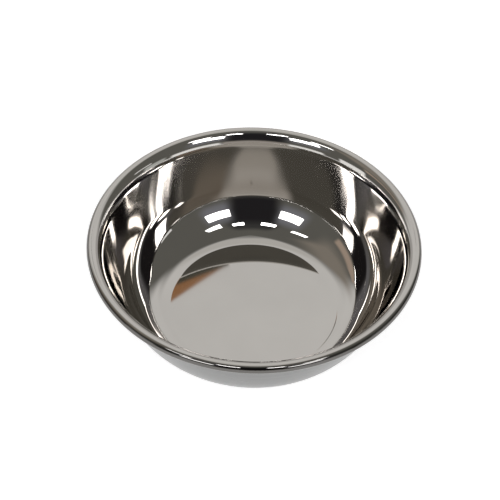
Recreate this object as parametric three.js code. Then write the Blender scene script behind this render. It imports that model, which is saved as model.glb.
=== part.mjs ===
// A one-piece pet bowl: one disc of stainless sheet, deep drawn to a flat floor, a rounded corner
// that eases into a flared wall, turned outwards through a wide lip and a tighter shoulder, and
// rolled down at its edge into an open curl.
// Millimetres, +Z up, the origin under the middle of the floor on the surface the bowl stands on.
import * as THREE from 'three';

// Driving dimensions
const RIM_RADIUS = 82.5;      // outermost line of the rolled edge
const HEIGHT = 51.2;          // standing surface to the top line of the rim
const WALL_SPREAD = 40.2;     // edge of the flat floor to the outermost line, seen from above
const CORNER_TURN_DEG = 40;   // turn of the corner before it eases
const WALL_RADIUS = 150;      // inside radius of the hollow wall, seen in section
const LIP_RADIUS = 13;        // top radius where the wall starts to turn outwards
const SHOULDER_RADIUS = 4.3;  // top radius from the lip to the top line of the rim
const SHOULDER_TURN_DEG = 49; // turn of the shoulder
const ROLL_RADIUS = 2.5;      // outside radius of the rolled edge
const CURL_END_DEG = 215;     // turn from straight up to the cut edge of the sheet
const SHEET = 0.7;            // thickness of the sheet

// Sizes that follow from these
const FLOOR_RADIUS = RIM_RADIUS - WALL_SPREAD;  // flat part of the floor
const CORNER_RADIUS = 0.485 * WALL_SPREAD;      // inside radius where the sheet leaves the floor
const EASE_RADIUS = 1.035 * WALL_SPREAD;        // inside radius between the corner and the wall

// Facets
const TURN_STEPS = 64;        // around the axis
const CORNER_STEPS = 5;
const EASE_STEPS = 3;
const WALL_STEPS = 2;
const LIP_STEPS = 4;
const SHOULDER_STEPS = 5;
const ROLL_STEPS = 11;

// A tilt is the turn of the upper surface's normal from straight up, positive towards the axis.
const degrees = THREE.MathUtils.degToRad;
const normalAt = (tilt) => new THREE.Vector2(-Math.sin(tilt), Math.cos(tilt));
const tiltOf = (normal) => Math.atan2(-normal.x, normal.y);

// Points of the upper surface and its normals along one bend of the sheet. The bend's centre lies
// above a hollow corner (side 1) and below a crowned edge (side -1).
function bend(centre, radius, side, fromTilt, toTilt, steps) {
  const points = [];
  for (let i = 0; i <= steps; i++) {
    const normal = normalAt(fromTilt + (toTilt - fromTilt) * i / steps);
    const place = centre.clone().addScaledVector(normal, -side * radius);
    points.push({ place, normal });
  }
  return points;
}

// The centre of the wall's bend, which runs on smoothly from the easing bend into the lip.
function wallCentre(ease, lip) {
  const span = lip.clone().sub(ease);
  const length = span.length();
  const fromEase = WALL_RADIUS - EASE_RADIUS;
  const fromLip = WALL_RADIUS + LIP_RADIUS;
  const along = (fromEase ** 2 - fromLip ** 2 + length ** 2) / (2 * length);
  const aside = Math.sqrt(fromEase ** 2 - along ** 2);
  const run = span.normalize();
  const left = new THREE.Vector2(-run.y, run.x);
  return ease.clone().addScaledVector(run, along).addScaledVector(left, aside);
}

// The upper surface of the sheet, from the middle of the floor to the cut edge of the curl.
function upperSurface() {
  const cornerTurn = degrees(CORNER_TURN_DEG);
  const corner = new THREE.Vector2(FLOOR_RADIUS, SHEET + CORNER_RADIUS);
  const ease = corner.clone().addScaledVector(normalAt(cornerTurn), EASE_RADIUS - CORNER_RADIUS);
  const roll = new THREE.Vector2(RIM_RADIUS - ROLL_RADIUS, HEIGHT - ROLL_RADIUS);
  const shoulderTurn = degrees(SHOULDER_TURN_DEG);
  const shoulder = new THREE.Vector2(roll.x, HEIGHT - SHOULDER_RADIUS);
  const lip = shoulder.clone().addScaledVector(normalAt(shoulderTurn), SHOULDER_RADIUS - LIP_RADIUS);
  const wall = wallCentre(ease, lip);
  const wallFoot = tiltOf(wall.clone().sub(ease));
  const wallTop = tiltOf(wall.clone().sub(lip));

  const middle = { place: new THREE.Vector2(0, SHEET), normal: normalAt(0) };
  return [
    middle,
    ...bend(corner, CORNER_RADIUS, 1, 0, cornerTurn, CORNER_STEPS),
    ...bend(ease, EASE_RADIUS, 1, cornerTurn, wallFoot, EASE_STEPS).slice(1),
    ...bend(wall, WALL_RADIUS, 1, wallFoot, wallTop, WALL_STEPS).slice(1),
    ...bend(lip, LIP_RADIUS, -1, wallTop, shoulderTurn, LIP_STEPS).slice(1),
    ...bend(shoulder, SHOULDER_RADIUS, -1, shoulderTurn, 0, SHOULDER_STEPS).slice(1),
    ...bend(roll, ROLL_RADIUS, -1, 0, -degrees(CURL_END_DEG), ROLL_STEPS).slice(1),
  ];
}

// The closed outline of the sheet: up along its under surface, and back along its upper surface.
function sheetOutline() {
  const upper = upperSurface();
  const under = upper.map(({ place, normal }) => place.clone().addScaledVector(normal, -SHEET));
  return [...under, ...upper.map(({ place }) => place).reverse()];
}

function polishedSteel() {
  return new THREE.MeshStandardMaterial({ color: 0xc9c8c4, roughness: 0.12, metalness: 1 });
}

function bowlShell() {
  const shell = new THREE.Mesh(new THREE.LatheGeometry(sheetOutline(), TURN_STEPS), polishedSteel());
  shell.name = 'bowl_shell';
  shell.rotation.x = Math.PI / 2;
  return shell;
}

const bowl = new THREE.Group();
bowl.add(bowlShell());

export default bowl;
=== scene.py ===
import math
from collections import namedtuple

import bpy
from bpy.props import FloatProperty, FloatVectorProperty, IntProperty, PointerProperty
from mathutils import Matrix, Vector


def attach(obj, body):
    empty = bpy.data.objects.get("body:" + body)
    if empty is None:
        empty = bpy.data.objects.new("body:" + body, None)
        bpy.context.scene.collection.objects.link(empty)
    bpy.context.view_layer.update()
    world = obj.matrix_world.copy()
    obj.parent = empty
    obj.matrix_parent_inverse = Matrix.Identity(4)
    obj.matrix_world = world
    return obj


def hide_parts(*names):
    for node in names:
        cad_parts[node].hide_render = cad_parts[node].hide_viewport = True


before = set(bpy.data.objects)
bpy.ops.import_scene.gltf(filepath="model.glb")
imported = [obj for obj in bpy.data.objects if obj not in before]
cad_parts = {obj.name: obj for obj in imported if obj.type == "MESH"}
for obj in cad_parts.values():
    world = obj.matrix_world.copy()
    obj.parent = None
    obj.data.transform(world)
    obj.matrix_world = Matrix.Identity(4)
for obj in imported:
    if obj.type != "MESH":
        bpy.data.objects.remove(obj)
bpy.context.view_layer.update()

bl_info = {
    "name": "Stainless pet bowl",
    "version": (1, 0, 0),
    "blender": (4, 5, 0),
    "location": "3D View > Sidebar > Pet Bowl",
    "description": "Models a polished one-piece steel pet bowl and the white table it is shown on",
    "category": "Add Mesh",
}

MM = 0.001

# The bowl's inside has the first material slot, its outside and cut edge the second.
OUTSIDE_SLOT = 1
SMOOTH_ANGLE = math.radians(40.0)

# The turned form
FLOOR_RINGS = 5
FLOOR_EDGE_RING = 0.3 * MM
MERGE_DISTANCE = 0.002 * MM

# Sockets of a Mix node that blends colours
MIX_FIRST = 6
MIX_SECOND = 7
MIX_RESULT = 2

# Most of a noise texture's values lie between these two.
NOISE_LOW = 0.3
NOISE_HIGH = 0.7

# Marks of the lathe and of polishing
LINE_SCALE = 2600.0
LINE_DRIFT = 0.0004
CLOUD_SCALE = 38.0
QUARTER_TURN = 0.25

# Shares of the bowl's height where its finish changes
BLUR_RISES = (0.25, 0.65)
CORNER_TO_WALL = (0.30, 0.45)
WALL_TO_LIP = (0.80, 0.92)

# Shares of the roll's radius above its middle, between which the painted shade on the roll's outside
# fades out upwards, and the share out from its top line over which that shade fades in
ROLL_SHADE_STOPS = (0.72, 0.98)
ROLL_FADE = 0.3

# The table
TABLE_RADIUS = 12.0
TABLE_ROUGHNESS = 0.9
TABLE_LIFT = 0.72


def length(name, description, millimetres):
    """A size of the bowl, in metres."""
    return FloatProperty(
        name=name,
        description=description,
        default=millimetres * MM,
        min=0.0,
        precision=5,
        subtype="DISTANCE",
        unit="LENGTH",
    )


def turn(name, description, degrees):
    """An angle, in radians."""
    return FloatProperty(
        name=name,
        description=description,
        default=math.radians(degrees),
        subtype="ANGLE",
        unit="ROTATION",
    )


def tint(name, description, colour):
    """A colour, in linear red, green and blue."""
    return FloatVectorProperty(
        name=name,
        description=description,
        default=colour,
        size=3,
        min=0.0,
        max=1.0,
        subtype="COLOR",
    )


def share(name, description, default):
    """A number from nothing to all."""
    return FloatProperty(
        name=name,
        description=description,
        default=default,
        min=0.0,
        max=1.0,
        subtype="FACTOR",
    )


class PetBowlSizes(bpy.types.PropertyGroup):
    rim_radius: length("Rim radius", "Axis to the outermost line of the rolled edge", 82.5)
    height: length("Height", "Standing surface to the top line of the rim", 51.2)
    floor_radius: length("Floor radius", "Flat part of the floor", 42.3)
    corner_radius: length("Corner radius", "Inside radius where the sheet leaves the floor", 19.5)
    corner_turn: turn("Corner turn", "Turn of the corner before it eases into the wall", 40.0)
    ease_radius: length("Easing radius", "Inside radius between the corner and the wall", 41.6)
    wall_radius: length("Wall radius", "Inside radius of the hollow wall, seen in section", 150.0)
    lip_radius: length("Lip radius", "Top radius where the wall starts to turn outwards", 13.0)
    shoulder_radius: length("Shoulder radius", "Top radius from the lip to the rim's top line", 4.3)
    shoulder_turn: turn("Shoulder turn", "Turn of the shoulder", 49.0)
    roll_radius: length("Roll radius", "Outside radius of the rolled edge", 2.5)
    curl_turn: turn("Curl turn", "Turn from straight up to the cut edge of the sheet", 215.0)
    sheet: length("Sheet", "Thickness of the steel", 0.7)
    around: IntProperty(
        name="Steps around",
        description="Faces in one turn of the bowl",
        default=216,
        min=24,
        max=360,
    )


class PetBowlFinish(bpy.types.PropertyGroup):
    polish_colour: tint("Polished steel", "Colour of the floor, corner and rim", (0.692, 0.667, 0.635))
    # The wall colour is simply a darker tone than the floor and rim are given.
    wall_colour: tint("Wall steel", "Colour of the duller polish on the wall", (0.588, 0.555, 0.517))
    satin_colour: tint("Satin steel", "Colour of the outer wall", (0.24, 0.24, 0.237))
    floor_roughness: share("Floor roughness", "Blur of the mirror on the floor and corner", 0.015)
    wall_roughness: share("Wall roughness", "Blur of the mirror on the wall", 0.05)
    satin_roughness: share("Satin roughness", "Blur of the outer wall", 0.30)
    # This sets the depth of the painted shade on the roll's outside, which stands in for the dark
    # reflection there; it is not an unpolished finish.
    roll_painted_shade: share("Roll painted shade", "Tone of the roll's unpolished outside against the polish", 0.22)
    floor_lean: turn("Floor lean", "Lean of the pressed floor to the left, as its mirror shows it", 1.9)
    lathe_marks: share("Lathe marks", "How much more the polish blurs up the wall than around it", 0.9)


class PetBowlStudio(bpy.types.PropertyGroup):
    camera_distance: length("Camera distance", "Camera to the middle of the rim", 825.0)
    camera_height: turn("Camera elevation", "Angle of the view above the table", 46.35)
    camera_roll: turn("Camera roll", "Lean of the camera, which lowers the bowl's right side", 1.844)
    pan: turn("Pan", "Turn of the camera to the left of the rim's middle", 0.1506)
    dip: turn("Dip", "Turn of the camera below the rim's middle", 0.379)
    lens: FloatProperty(
        name="Lens",
        description="Focal length on a 36 mm sensor",
        default=120.8,
        min=10.0,
        subtype="DISTANCE_CAMERA",
        unit="CAMERA",
    )
    table_colour: tint("Table", "Colour of the table", (0.80, 0.80, 0.80))


# The sheet in section. A tilt is the turn of the upper surface's normal from straight up, positive
# towards the axis; places are (distance from the axis, height).


def normal_at(tilt):
    return Vector((-math.sin(tilt), math.cos(tilt)))


def tilt_of(normal):
    return math.atan2(-normal.x, normal.y)


def bend(centre, radius, side, from_tilt, to_tilt, step):
    """Places along a bend of the sheet, its centre above (side 1) or below it (side -1)."""
    steps = max(2, math.ceil(abs(to_tilt - from_tilt) / step))
    places = []
    for i in range(steps + 1):
        normal = normal_at(from_tilt + (to_tilt - from_tilt) * i / steps)
        places.append(centre - normal * (side * radius))
    return places


def wall_centre(sizes, ease, lip):
    """The centre of the wall's bend, which runs on smoothly from the easing into the lip."""
    span = lip - ease
    from_ease = sizes.wall_radius - sizes.ease_radius
    from_lip = sizes.wall_radius + sizes.lip_radius
    along = (from_ease**2 - from_lip**2 + span.length**2) / (2 * span.length)
    aside = math.sqrt(from_ease**2 - along**2)
    run = span.normalized()
    left = Vector((-run.y, run.x))
    return ease + run * along + left * aside


def sheet_line(sizes):
    """The upper line of the sheet in section, from the axis to the cut edge of the curl."""
    fine = math.radians(1.0)
    finest = math.radians(0.5)
    tight = math.radians(4.0)
    floor = sizes.sheet
    corner = Vector((sizes.floor_radius, floor + sizes.corner_radius))
    ease = corner + normal_at(sizes.corner_turn) * (sizes.ease_radius - sizes.corner_radius)
    roll = Vector((sizes.rim_radius - sizes.roll_radius, sizes.height - sizes.roll_radius))
    shoulder = Vector((roll.x, sizes.height - sizes.shoulder_radius))
    lip = shoulder + normal_at(sizes.shoulder_turn) * (sizes.shoulder_radius - sizes.lip_radius)
    wall = wall_centre(sizes, ease, lip)
    wall_foot = tilt_of(wall - ease)
    wall_top = tilt_of(wall - lip)

    # A narrow ring at the edge of the flat floor keeps the mirror true right up to the corner.
    line = [Vector((sizes.floor_radius * i / FLOOR_RINGS, floor)) for i in range(FLOOR_RINGS)]
    line.append(Vector((sizes.floor_radius - FLOOR_EDGE_RING, floor)))
    line += bend(corner, sizes.corner_radius, 1, 0.0, sizes.corner_turn, fine)
    line += bend(ease, sizes.ease_radius, 1, sizes.corner_turn, wall_foot, fine)[1:]
    line += bend(wall, sizes.wall_radius, 1, wall_foot, wall_top, finest)[1:]
    line += bend(lip, sizes.lip_radius, -1, wall_top, sizes.shoulder_turn, 2 * fine)[1:]
    line += bend(shoulder, sizes.shoulder_radius, -1, sizes.shoulder_turn, 0.0, tight)[1:]
    line += bend(roll, sizes.roll_radius, -1, 0.0, -sizes.curl_turn, tight)[1:]
    return line


def draw_line(line):
    """Draws the section as one chain of edges in front of the axis, and leaves it in edit mode."""
    bpy.ops.object.select_all(action="DESELECT")
    bpy.ops.mesh.primitive_plane_add(size=MM, location=(0.0, 0.0, 0.0))
    bpy.ops.object.mode_set(mode="EDIT")
    bpy.ops.mesh.select_mode(type="VERT")
    bpy.ops.mesh.select_all(action="SELECT")
    bpy.ops.mesh.merge(type="CENTER")
    bpy.ops.mesh.select_all(action="SELECT")
    bpy.ops.transform.translate(value=(line[0].x, 0.0, line[0].y))
    for before, after in zip(line, line[1:]):
        step = after - before
        bpy.ops.mesh.extrude_vertices_move(
            TRANSFORM_OT_translate={"value": (step.x, 0.0, step.y)}
        )
    return bpy.context.object


def spin_sheet(steps):
    """Turns the drawn section about the axis into a closed skin with its faces up."""
    bpy.ops.mesh.select_all(action="SELECT")
    bpy.ops.mesh.spin(
        steps=steps,
        angle=2 * math.pi,
        center=(0.0, 0.0, 0.0),
        axis=(0.0, 0.0, 1.0),
    )
    bpy.ops.mesh.select_all(action="SELECT")
    bpy.ops.mesh.remove_doubles(threshold=MERGE_DISTANCE)
    bpy.ops.mesh.normals_make_consistent(inside=False)
    bpy.ops.object.mode_set(mode="OBJECT")
    skin = bpy.context.object
    middle = min(skin.data.polygons, key=lambda face: face.center.xy.length)
    if middle.normal.z < 0:
        bpy.ops.object.mode_set(mode="EDIT")
        bpy.ops.mesh.select_all(action="SELECT")
        bpy.ops.mesh.flip_normals()
        bpy.ops.object.mode_set(mode="OBJECT")
    return skin


def thicken(skin, sheet):
    """Gives the skin the thickness of the sheet on its under side, with a closed cut edge."""
    bpy.ops.object.modifier_add(type="SOLIDIFY")
    solidify = skin.modifiers[-1]
    solidify.thickness = sheet
    solidify.offset = -1.0
    solidify.use_even_offset = True
    solidify.use_quality_normals = True
    solidify.use_rim = True
    solidify.material_offset = OUTSIDE_SLOT
    solidify.material_offset_rim = OUTSIDE_SLOT
    bpy.ops.object.modifier_apply(modifier=solidify.name)


# Materials


def new_material(name):
    """A material with only its output and its principled shader."""
    material = bpy.data.materials.new(name)
    material.use_nodes = True
    tree = material.node_tree
    shader = next(n for n in tree.nodes if n.type == "BSDF_PRINCIPLED")
    return material, tree, shader


def add_node(tree, kind, inputs=None, **settings):
    """A node with its settings, and with inputs that are values or other nodes' outputs."""
    node = tree.nodes.new(kind)
    for key, value in settings.items():
        setattr(node, key, value)
    for key, value in (inputs or {}).items():
        if isinstance(value, bpy.types.NodeSocket):
            tree.links.new(value, node.inputs[key])
        else:
            node.inputs[key].default_value = value
    return node


def maths(tree, operation, *values):
    """The result of a Math node."""
    inputs = dict(enumerate(values))
    return add_node(tree, "ShaderNodeMath", inputs, operation=operation).outputs[0]


def vector_maths(tree, operation, inputs):
    """The result of a Vector Math node."""
    return add_node(tree, "ShaderNodeVectorMath", inputs, operation=operation).outputs[0]


def weighted_sum(tree, first, first_weight, second, second_weight):
    """Two numbers, each times its weight, added up."""
    return maths(
        tree,
        "ADD",
        maths(tree, "MULTIPLY", first, first_weight),
        maths(tree, "MULTIPLY", second, second_weight),
    )


def mix_colours(tree, mask, first, second, label=""):
    """The first colour, which may be a node's output, and the second where the mask is one."""
    mix = add_node(tree, "ShaderNodeMix", {0: mask}, data_type="RGBA", label=label)
    if isinstance(first, bpy.types.NodeSocket):
        tree.links.new(first, mix.inputs[MIX_FIRST])
    else:
        mix.inputs[MIX_FIRST].default_value = (*first, 1.0)
    mix.inputs[MIX_SECOND].default_value = (*second, 1.0)
    return mix.outputs[MIX_RESULT]


def turned_coordinates(tree):
    """Distance from the axis, height and turn of a place on the bowl, for marks of the lathe."""
    place = add_node(tree, "ShaderNodeTexCoord").outputs["Object"]
    parts = add_node(tree, "ShaderNodeSeparateXYZ", {0: place})
    x, y, z = parts.outputs
    out = maths(tree, "SQRT", weighted_sum(tree, x, x, y, y))
    around = maths(tree, "ARCTAN2", y, x)
    return place, out, z, around


def ramp(tree, value, start, end, at_start, at_end, smooth=False):
    """A number that runs from one value to another while an input crosses two limits."""
    return add_node(
        tree,
        "ShaderNodeMapRange",
        {
            "Value": value,
            "From Min": start,
            "From Max": end,
            "To Min": at_start,
            "To Max": at_end,
        },
        interpolation_type="SMOOTHSTEP" if smooth else "LINEAR",
    ).outputs[0]


def by_noise(tree, noise, at_low, at_high):
    """A number that follows a noise texture between two values."""
    return ramp(tree, noise, NOISE_LOW, NOISE_HIGH, at_low, at_high)


def by_height(tree, high, height, shares, at_low, at_high):
    """A number that changes smoothly between two shares of the bowl's height."""
    low, top = shares
    return ramp(tree, high, low * height, top * height, at_low, at_high, True)


def polish_grain(tree):
    """Lathe lines round the axis, and the wide faint clouds of hand polishing."""
    place, out, high, around = turned_coordinates(tree)
    ring = add_node(
        tree,
        "ShaderNodeCombineXYZ",
        {0: out, 1: high, 2: maths(tree, "MULTIPLY", around, LINE_DRIFT)},
    )
    lines = add_node(
        tree,
        "ShaderNodeTexNoise",
        {"Vector": ring.outputs[0], "Scale": LINE_SCALE, "Detail": 3.0},
    )
    cloud = add_node(
        tree,
        "ShaderNodeTexNoise",
        {"Vector": place, "Scale": CLOUD_SCALE, "Detail": 2.0},
    )
    return out, high, lines.outputs[0], cloud.outputs[0]


def paint_roll_shade(tree, out, high, sizes, tone):
    """A factor that darkens the outside of the roll: painted shade, standing in for the dark reflection
    the roll shows there.
    """
    roll = sizes.roll_radius
    top_line = sizes.rim_radius - roll
    middle = sizes.height - roll
    full_shade_height, no_shade_height = (middle + share_of_roll * roll for share_of_roll in ROLL_SHADE_STOPS)
    below = ramp(tree, high, full_shade_height, no_shade_height, 1.0 - tone, 0.0, True)
    outside = ramp(tree, out, top_line, top_line + ROLL_FADE * roll, 0.0, 1.0)
    return maths(tree, "SUBTRACT", 1.0, maths(tree, "MULTIPLY", below, outside))


def steel_by_height(tree, high, sizes, finish):
    """The polished steel's colour, darker on the wall than below and above it."""
    above_corner = by_height(tree, high, sizes.height, CORNER_TO_WALL, 0.0, 1.0)
    below_lip = by_height(tree, high, sizes.height, WALL_TO_LIP, 1.0, 0.0)
    on_wall = maths(tree, "MULTIPLY", above_corner, below_lip)
    return mix_colours(tree, on_wall, finish.polish_colour, finish.wall_colour)


def colour_steel(tree, shader, colour, cloud, factor):
    """Gives steel its colour, a little lighter and darker in the clouds of its polish."""
    shade = maths(tree, "MULTIPLY", by_noise(tree, cloud, 0.98, 1.02), factor)
    paint = vector_maths(tree, "SCALE", {0: colour, "Scale": shade})
    tree.links.new(paint, shader.inputs["Base Color"])
    shader.inputs["Metallic"].default_value = 1.0


def lean_floor(tree, shader, out, sizes, lean):
    """Leans the mirror of the floor a little, fading out in the corner."""
    floor_edge = sizes.floor_radius
    fade = 0.7 * sizes.corner_radius
    flat = ramp(tree, out, floor_edge, floor_edge + fade, -math.tan(lean), 0.0, True)
    aside = add_node(tree, "ShaderNodeCombineXYZ", {0: flat}).outputs[0]
    upright = add_node(tree, "ShaderNodeNewGeometry").outputs["Normal"]
    leaning = vector_maths(tree, "ADD", {0: upright, 1: aside})
    unit = vector_maths(tree, "NORMALIZE", {0: leaning})
    tree.links.new(unit, shader.inputs["Normal"])


def polished_steel(finish, sizes):
    """Mirror polish, clearest on the floor, with lathe marks that smear it up and down the wall."""
    material, tree, shader = new_material("polished_steel")
    out, high, lines, cloud = polish_grain(tree)
    steel = steel_by_height(tree, high, sizes, finish)
    # Painted shade on the outside of the roll, for the dark reflection it shows, goes into the steel's
    # colour.
    roll = paint_roll_shade(tree, out, high, sizes, finish.roll_painted_shade)
    colour_steel(tree, shader, steel, cloud, roll)
    rising = by_height(
        tree,
        high,
        sizes.height,
        BLUR_RISES,
        finish.floor_roughness,
        finish.wall_roughness,
    )
    grain = by_noise(tree, lines, 0.9, 1.0)
    haze = by_noise(tree, cloud, 0.0, 0.15)
    rough = maths(tree, "MULTIPLY", rising, maths(tree, "ADD", grain, haze))
    tree.links.new(rough, shader.inputs["Roughness"])
    lean_floor(tree, shader, out, sizes, finish.floor_lean)
    shader.inputs["Anisotropic"].default_value = finish.lathe_marks
    shader.inputs["Anisotropic Rotation"].default_value = QUARTER_TURN
    tangent = add_node(tree, "ShaderNodeTangent", direction_type="RADIAL", axis="Z")
    tree.links.new(tangent.outputs[0], shader.inputs["Tangent"])
    return material


def satin_steel(finish):
    """The unpolished outside, as it comes from the press."""
    material, tree, shader = new_material("satin_steel")
    _, _, lines, cloud = polish_grain(tree)
    colour_steel(tree, shader, finish.satin_colour, cloud, by_noise(tree, lines, 0.88, 1.12))
    mix = weighted_sum(tree, lines, 0.6, cloud, 0.4)
    smoothest = 0.85 * finish.satin_roughness
    roughest = 1.15 * finish.satin_roughness
    tree.links.new(by_noise(tree, mix, smoothest, roughest), shader.inputs["Roughness"])
    bump = add_node(
        tree,
        "ShaderNodeBump",
        {"Strength": 0.1, "Distance": 0.02 * MM, "Height": lines},
    )
    tree.links.new(bump.outputs[0], shader.inputs["Normal"])
    return material


class PETBOWL_OT_shell(bpy.types.Operator):
    """Draw the sheet in section, spin it, give it thickness and finish its faces"""

    bl_idname = "petbowl.shell"
    bl_label = "Bowl shell"
    bl_options = {"REGISTER", "UNDO"}

    def execute(self, context):
        sizes = context.scene.pet_bowl_sizes
        finish = context.scene.pet_bowl_finish
        draw_line(sheet_line(sizes))
        bowl = spin_sheet(sizes.around)
        bowl.name = "steel_bowl"
        bowl.data.name = "steel_bowl"
        bowl.data.materials.append(polished_steel(finish, sizes))
        bowl.data.materials.append(satin_steel(finish))
        thicken(bowl, sizes.sheet)
        bpy.ops.object.shade_smooth_by_angle(angle=SMOOTH_ANGLE)
        if len(bowl.data.polygons) < sizes.around:
            raise RuntimeError("the bowl's sheet has too few faces")
        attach(bowl, "root")
        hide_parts("bowl_shell")
        return {"FINISHED"}


# The studio. A panel is a patch of the surroundings, given by where it is seen from the bowl:
# azimuth 0 is behind the bowl, 90 to its right, 180 in front of it; all in degrees.

Panel = namedtuple(
    "Panel",
    "name azimuth half_width elevation half_height edge colour lean",
    defaults=[0.0],
)

ROOM = (0.125, 0.123, 0.112)
PANELS = (
    Panel("white horizon", 0, 200, -20, 24, 1.5, (0.80, 0.80, 0.80)),
    Panel("pale wall behind", -6, 54, 30, 18, 9, (0.65, 0.645, 0.635)),
    Panel("warm wall at the left", 283, 30, 50, 16, 10, (0.25, 0.225, 0.195)),
    Panel("top of the pale wall", -3, 38, 58, 22, 16, (0.65, 0.645, 0.635)),
    Panel("ceiling over the wall", -3, 36, 69, 9.5, 4, (0.55, 0.54, 0.52)),
    Panel("foot of the pale wall", 0, 48, 10, 14, 6, (0.42, 0.41, 0.40)),
    Panel("brown box behind", -7.1, 1.7, 47.03, 0.56, 0.06, (0.30, 0.15, 0.070), -19.3),
    Panel("shade on the brown box", -7.0, 1.6, 46.89, 0.45, 0.06, (0.06, 0.062, 0.05), -10.4),
    Panel("shade round the card", 178, 28, 48, 22, 8, (0.045, 0.045, 0.045)),
    Panel("table before the card", 179, 22, 4, 9, 2, (0.40, 0.37, 0.34)),
    Panel("right softbox glow", 146, 13, 33, 13, 6, (0.20, 0.205, 0.23)),
    Panel("left softbox glow", 214, 13, 35, 13, 6, (0.20, 0.205, 0.23)),
    Panel("dark card in front", 179, 21, 32, 20, 7, (0.018, 0.017, 0.019)),
    Panel("right softbox", 145.5, 11, 35, 4.8, 0.8, (8.0, 8.0, 8.2)),
    Panel("left softbox", 213.5, 10.5, 35.5, 5.2, 0.8, (8.0, 8.0, 8.2)),
    Panel("right high lamp", 133.5, 8.5, 50.5, 3.4, 0.8, (5.0, 5.0, 5.1)),
    Panel("left high lamp", 233.5, 8.5, 52.5, 2.8, 0.8, (5.0, 5.0, 5.1), -15),
    Panel("right lamp above the card", 161, 6.5, 54, 2.4, 0.7, (12.0, 12.0, 12.3)),
    Panel("left lamp above the card", 196, 8.5, 54, 2.4, 0.7, (12.0, 12.0, 12.3)),
    Panel("light under the right softbox", 138, 17, 3, 8, 2, (1.0, 1.0, 1.0)),
    Panel("light under the left softbox", 213, 12, 2, 8, 2, (1.0, 1.0, 1.0)),
    Panel("right strip", 98, 7, 18.5, 1.3, 0.6, (0.9, 0.9, 0.9)),
    Panel("right low patch", 108, 8, 9, 5, 2, (0.50, 0.52, 0.50)),
    Panel("left low patch", 247, 10, 8.5, 7, 1.5, (1.0, 1.0, 1.0)),
    Panel("left wooden strip", 278, 20, 24.5, 3.5, 2, (0.40, 0.32, 0.26)),
)


def within(tree, apart, half, edge):
    """One inside a band, and nothing outside it."""
    size = maths(tree, "ABSOLUTE", apart)
    return ramp(tree, size, half - edge, half + edge, 1.0, 0.0, True)


def panel_mask(tree, azimuth, elevation, panel):
    """One on the panel, and nothing beside it."""
    aside = maths(tree, "WRAP", maths(tree, "SUBTRACT", azimuth, panel.azimuth), 180.0, -180.0)
    above = maths(tree, "SUBTRACT", elevation, panel.elevation)
    if panel.lean:
        cosine = math.cos(math.radians(panel.lean))
        sine = math.sin(math.radians(panel.lean))
        along = weighted_sum(tree, aside, cosine, above, sine)
        above = weighted_sum(tree, aside, -sine, above, cosine)
        aside = along
    across = within(tree, aside, panel.half_width, panel.edge)
    upright = within(tree, above, panel.half_height, panel.edge)
    return maths(tree, "MULTIPLY", across, upright)


def build_studio(scene):
    """Surrounds the bowl with a dim room, a pale wall, a dark card and the lamps' softboxes."""
    world = bpy.data.worlds.new("studio")
    scene.world = world
    world.use_nodes = True
    tree = world.node_tree
    background = next(n for n in tree.nodes if n.type == "BACKGROUND")
    looking = add_node(tree, "ShaderNodeTexCoord").outputs["Generated"]
    x, y, z = add_node(tree, "ShaderNodeSeparateXYZ", {0: looking}).outputs
    azimuth = maths(tree, "DEGREES", maths(tree, "ARCTAN2", x, y))
    elevation = maths(tree, "DEGREES", maths(tree, "ARCSINE", z))
    colour = ROOM
    for panel in PANELS:
        mask = panel_mask(tree, azimuth, elevation, panel)
        colour = mix_colours(tree, mask, colour, panel.colour, panel.name)
    tree.links.new(colour, background.inputs["Color"])


def table_material(colour):
    """A matt white table that keeps the bowl's shadow and shows white to the eye and to the steel."""
    material, tree, shader = new_material("white_table")
    shader.inputs["Base Color"].default_value = (*colour, 1.0)
    shader.inputs["Roughness"].default_value = TABLE_ROUGHNESS
    shader.inputs["Specular IOR Level"].default_value = 0.0
    shader.inputs["Emission Color"].default_value = (1.0, 1.0, 1.0, 1.0)
    rays = add_node(tree, "ShaderNodeLightPath").outputs
    mirrored = maths(tree, "ADD", rays["Is Glossy Ray"], rays["Is Transmission Ray"])
    seen = maths(tree, "ADD", rays["Is Camera Ray"], mirrored)
    lift = maths(tree, "MULTIPLY", maths(tree, "MINIMUM", seen, 1.0), TABLE_LIFT)
    tree.links.new(lift, shader.inputs["Emission Strength"])
    return material


def place_camera(scene, studio, rim_middle):
    """Sets the camera at the photograph's viewing angle."""
    back = Vector((0.0, -math.cos(studio.camera_height), math.sin(studio.camera_height)))
    camera_data = bpy.data.cameras.new("camera")
    camera_data.sensor_width = 36.0
    camera_data.lens = studio.lens
    camera = bpy.data.objects.new("camera", camera_data)
    scene.collection.objects.link(camera)
    looking = (-back).to_track_quat("-Z", "Y").to_matrix()
    leaning = Matrix.Rotation(studio.camera_roll, 3, "Z")
    aiming = Matrix.Rotation(studio.pan, 3, "Y") @ Matrix.Rotation(-studio.dip, 3, "X")
    standing = Matrix.Translation(rim_middle + back * studio.camera_distance)
    camera.matrix_world = standing @ (looking @ leaning @ aiming).to_4x4()
    scene.camera = camera


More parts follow.
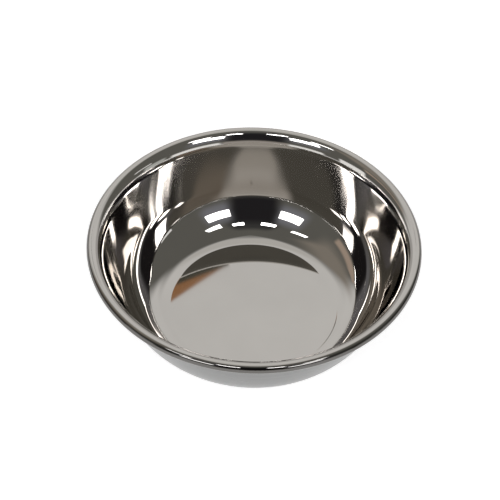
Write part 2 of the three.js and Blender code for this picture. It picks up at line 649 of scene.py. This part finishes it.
class PETBOWL_OT_stage(bpy.types.Operator):
    """Set the white table, the studio's surroundings and the camera"""

    bl_idname = "petbowl.stage"
    bl_label = "Table, studio and camera"
    bl_options = {"REGISTER", "UNDO"}

    def execute(self, context):
        scene = context.scene
        studio = scene.pet_bowl_studio
        bpy.ops.object.select_all(action="DESELECT")
        bpy.ops.mesh.primitive_circle_add(
            vertices=64,
            radius=TABLE_RADIUS,
            fill_type="NGON",
            location=(0.0, 0.0, 0.0),
        )
        table = context.object
        table.name = "white_table"
        table.data.materials.append(table_material(studio.table_colour))
        build_studio(scene)
        place_camera(scene, studio, Vector((0.0, 0.0, scene.pet_bowl_sizes.height)))
        scene.view_settings.view_transform = "Standard"
        return {"FINISHED"}


class PETBOWL_PT_panel(bpy.types.Panel):
    bl_idname = "PETBOWL_PT_panel"
    bl_label = "Pet Bowl"
    bl_space_type = "VIEW_3D"
    bl_region_type = "UI"
    bl_category = "Pet Bowl"

    def draw(self, context):
        scene = context.scene
        for group in (scene.pet_bowl_sizes, scene.pet_bowl_finish, scene.pet_bowl_studio):
            column = self.layout.column()
            for key in group.__annotations__:
                column.prop(group, key)
        self.layout.operator(PETBOWL_OT_shell.bl_idname)
        self.layout.operator(PETBOWL_OT_stage.bl_idname)


CLASSES = (
    PetBowlSizes,
    PetBowlFinish,
    PetBowlStudio,
    PETBOWL_OT_shell,
    PETBOWL_OT_stage,
    PETBOWL_PT_panel,
)


def register():
    for cls in CLASSES:
        bpy.utils.register_class(cls)
    bpy.types.Scene.pet_bowl_sizes = PointerProperty(type=PetBowlSizes)
    bpy.types.Scene.pet_bowl_finish = PointerProperty(type=PetBowlFinish)
    bpy.types.Scene.pet_bowl_studio = PointerProperty(type=PetBowlStudio)


def unregister():
    del bpy.types.Scene.pet_bowl_studio
    del bpy.types.Scene.pet_bowl_finish
    del bpy.types.Scene.pet_bowl_sizes
    for cls in reversed(CLASSES):
        bpy.utils.unregister_class(cls)


def main():
    register()
    bpy.ops.petbowl.shell()
    bpy.ops.petbowl.stage()


if __name__ == "__main__":
    main()
